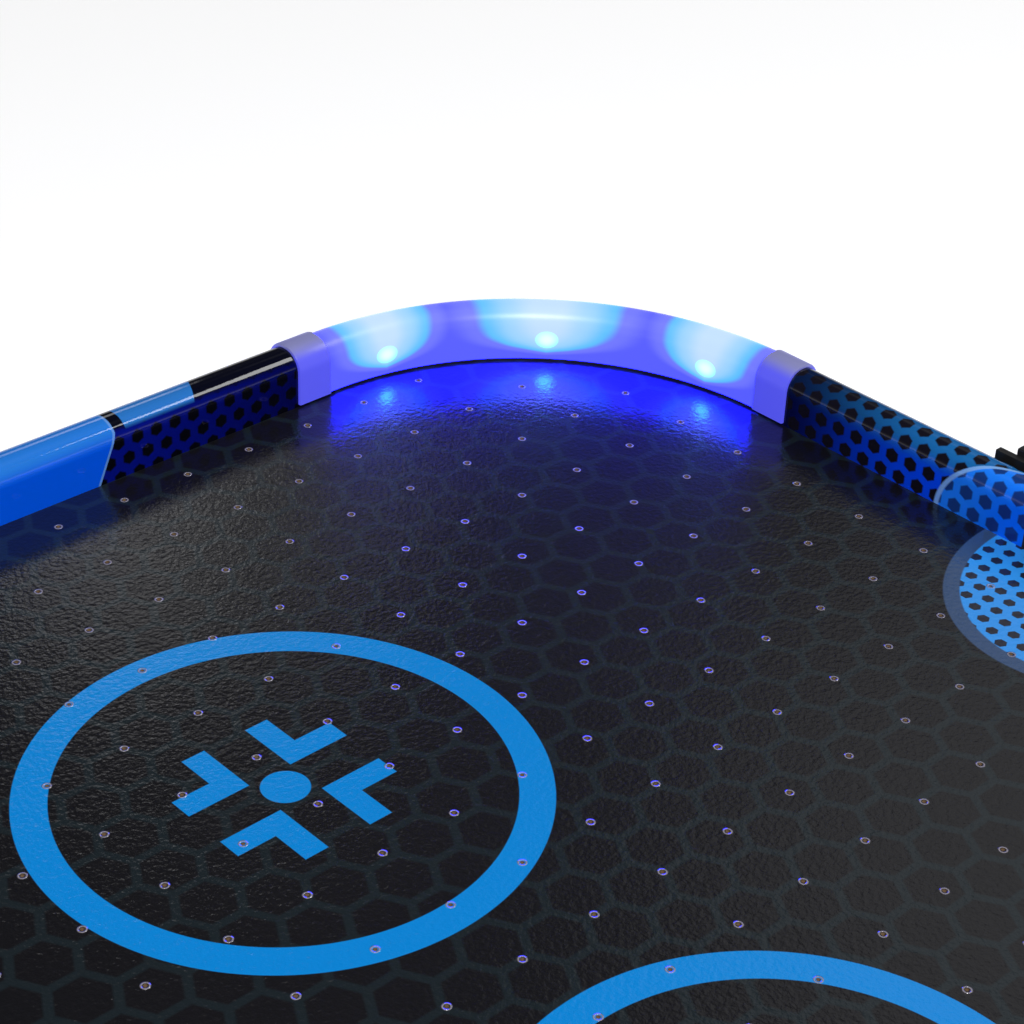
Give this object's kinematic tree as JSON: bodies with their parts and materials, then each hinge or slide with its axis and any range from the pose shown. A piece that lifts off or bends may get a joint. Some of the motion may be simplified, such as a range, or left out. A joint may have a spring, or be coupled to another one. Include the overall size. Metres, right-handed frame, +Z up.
{
  "type": "tabletop air hockey table",
  "caption": "Tabletop air hockey table with dotted blue rails, glowing frosted corner pieces, a perforated playing surface, a blower underneath, pushers and pucks.",
  "frame": {"origin": "on the supporting surface, under the middle of the table", "axes": "+X along the table from the left goal to the right goal, +Y across it to the back rail, +Z up"},
  "size_m": [1.16, 0.5104, 0.1391],
  "materials": {
    "playing_film": "satin printed film over fibreboard: dark hexagons, blue rings and goal creases",
    "hardboard": "bare hardboard",
    "raw_wood": "bare pine",
    "rail_film": "glossy printed film over fibreboard: blue panels with black dots on black",
    "lens": "frosted translucent, lit blue from within",
    "black_moulding": "fine-textured black moulding",
    "led_strip": "white flexible circuit strip",
    "led": "lamp in a white case, glowing blue",
    "rubber": "black rubber",
    "screw_steel": "zinc plated",
    "score_black": "satin black with pale printed marks",
    "blue_plastic": "glossy moulded blue",
    "felt": "black felt",
    "foam": "soft black foam",
    "blower_black": "plain black moulding",
    "motor_steel": "plated steel",
    "fan_grey": "smooth grey moulding",
    "gloss_black": "glossy black",
    "circuit_board": "green circuit board",
    "lead_white": "white insulation",
    "lead_red": "red insulation",
    "clip_white": "white nylon",
    "puck_plastic": "smooth pale grey"
  },
  "bodies": {
    "table": {"playfield": "playing_film", "floor_panel": "hardboard", "support_blocks": "raw_wood", "side_rail_back": "rail_film", "side_rail_front": "rail_film", "end_rail_right": "rail_film", "end_rail_left": "rail_film", "corner_lens_back_right": "lens", "corner_leg_back_right": "black_moulding", "led_strip_back_right": "led_strip", "corner_lens_back_left": "lens", "corner_leg_back_left": "black_moulding", "led_strip_back_left": "led_strip", "corner_lens_front_left": "lens", "corner_leg_front_left": "black_moulding", "led_strip_front_left": "led_strip", "corner_lens_front_right": "lens", "corner_leg_front_right": "black_moulding", "led_strip_front_right": "led_strip", "leds": "led", "foot_pads": "rubber", "rail_screws": "screw_steel", "goal_liner_right": "black_moulding", "puck_catcher_right": "black_moulding", "score_bar_right": "score_black", "goal_liner_left": "black_moulding", "puck_catcher_left": "black_moulding", "score_bar_left": "score_black", "catcher_screws": "screw_steel", "blower_gasket": "foam", "blower_housing": "blower_black", "intake_grille": "blower_black", "motor_bracket": "blower_black", "blower_motor": "motor_steel", "blower_screws": "screw_steel", "control_plate": "score_black", "switch_housing": "gloss_black", "power_inlet": "gloss_black", "control_board": "circuit_board", "control_cover": "black_moulding", "lamp_leads": "lead_white", "motor_lead": "lead_red", "lead_clips": "clip_white"},
    "fan": {"fan": "fan_grey", "motor_shaft": "motor_steel"},
    "power_rocker": {"power_rocker": "gloss_black"},
    "light_button": {"light_button": "blue_plastic"},
    "score_slider_left": {"score_slider_left": "blue_plastic"},
    "score_slider_right": {"score_slider_right": "blue_plastic"},
    "pusher_left": {"pusher_left": "blue_plastic", "pusher_felt_left": "felt"},
    "pusher_right": {"pusher_right": "blue_plastic", "pusher_felt_right": "felt"},
    "puck_in_play": {"puck_in_play": "puck_plastic"},
    "puck_spare": {"puck_spare": "puck_plastic"}
  },
  "joints": [
    {"name": "fan_spin", "type": "hinge", "parent": "table", "child": "fan", "pos_m": [0, 0, 0.04], "axis": [0, 0, 1], "continuous": true},
    {"name": "power_rocker_tilt", "type": "hinge", "parent": "table", "child": "power_rocker", "pos_m": [-0.224, -0.2484, 0.05], "axis": [0, 0, 1], "range_deg": [-16, 0]},
    {"name": "light_button_press", "type": "slide", "parent": "table", "child": "light_button", "axis": [0, 1, 0], "range_m": [0, 0.0012], "stiffness_N_per_m": 300, "springref_m": -0.001},
    {"name": "score_slider_left_slide", "type": "slide", "parent": "table", "child": "score_slider_left", "axis": [0, -1, 0], "range_m": [0, 0.076]},
    {"name": "score_slider_right_slide", "type": "slide", "parent": "table", "child": "score_slider_right", "axis": [0, 1, 0], "range_m": [0, 0.076]},
    {"name": "pusher_left_slide", "type": "slide", "parent": "table", "child": "pusher_left", "axis": [0, 1, 0], "range_m": [-0.19, 0.19]},
    {"name": "pusher_right_slide", "type": "slide", "parent": "table", "child": "pusher_right", "axis": [0, 1, 0], "range_m": [-0.08, 0.3]},
    {"name": "puck_in_play_slide", "type": "slide", "parent": "table", "child": "puck_in_play", "axis": [1, 0, 0], "range_m": [-0.335, 0.335]},
    {"name": "puck_spare_lift", "type": "slide", "parent": "table", "child": "puck_spare", "axis": [0, 0, 1], "range_m": [0, 0.06]}
  ]
}
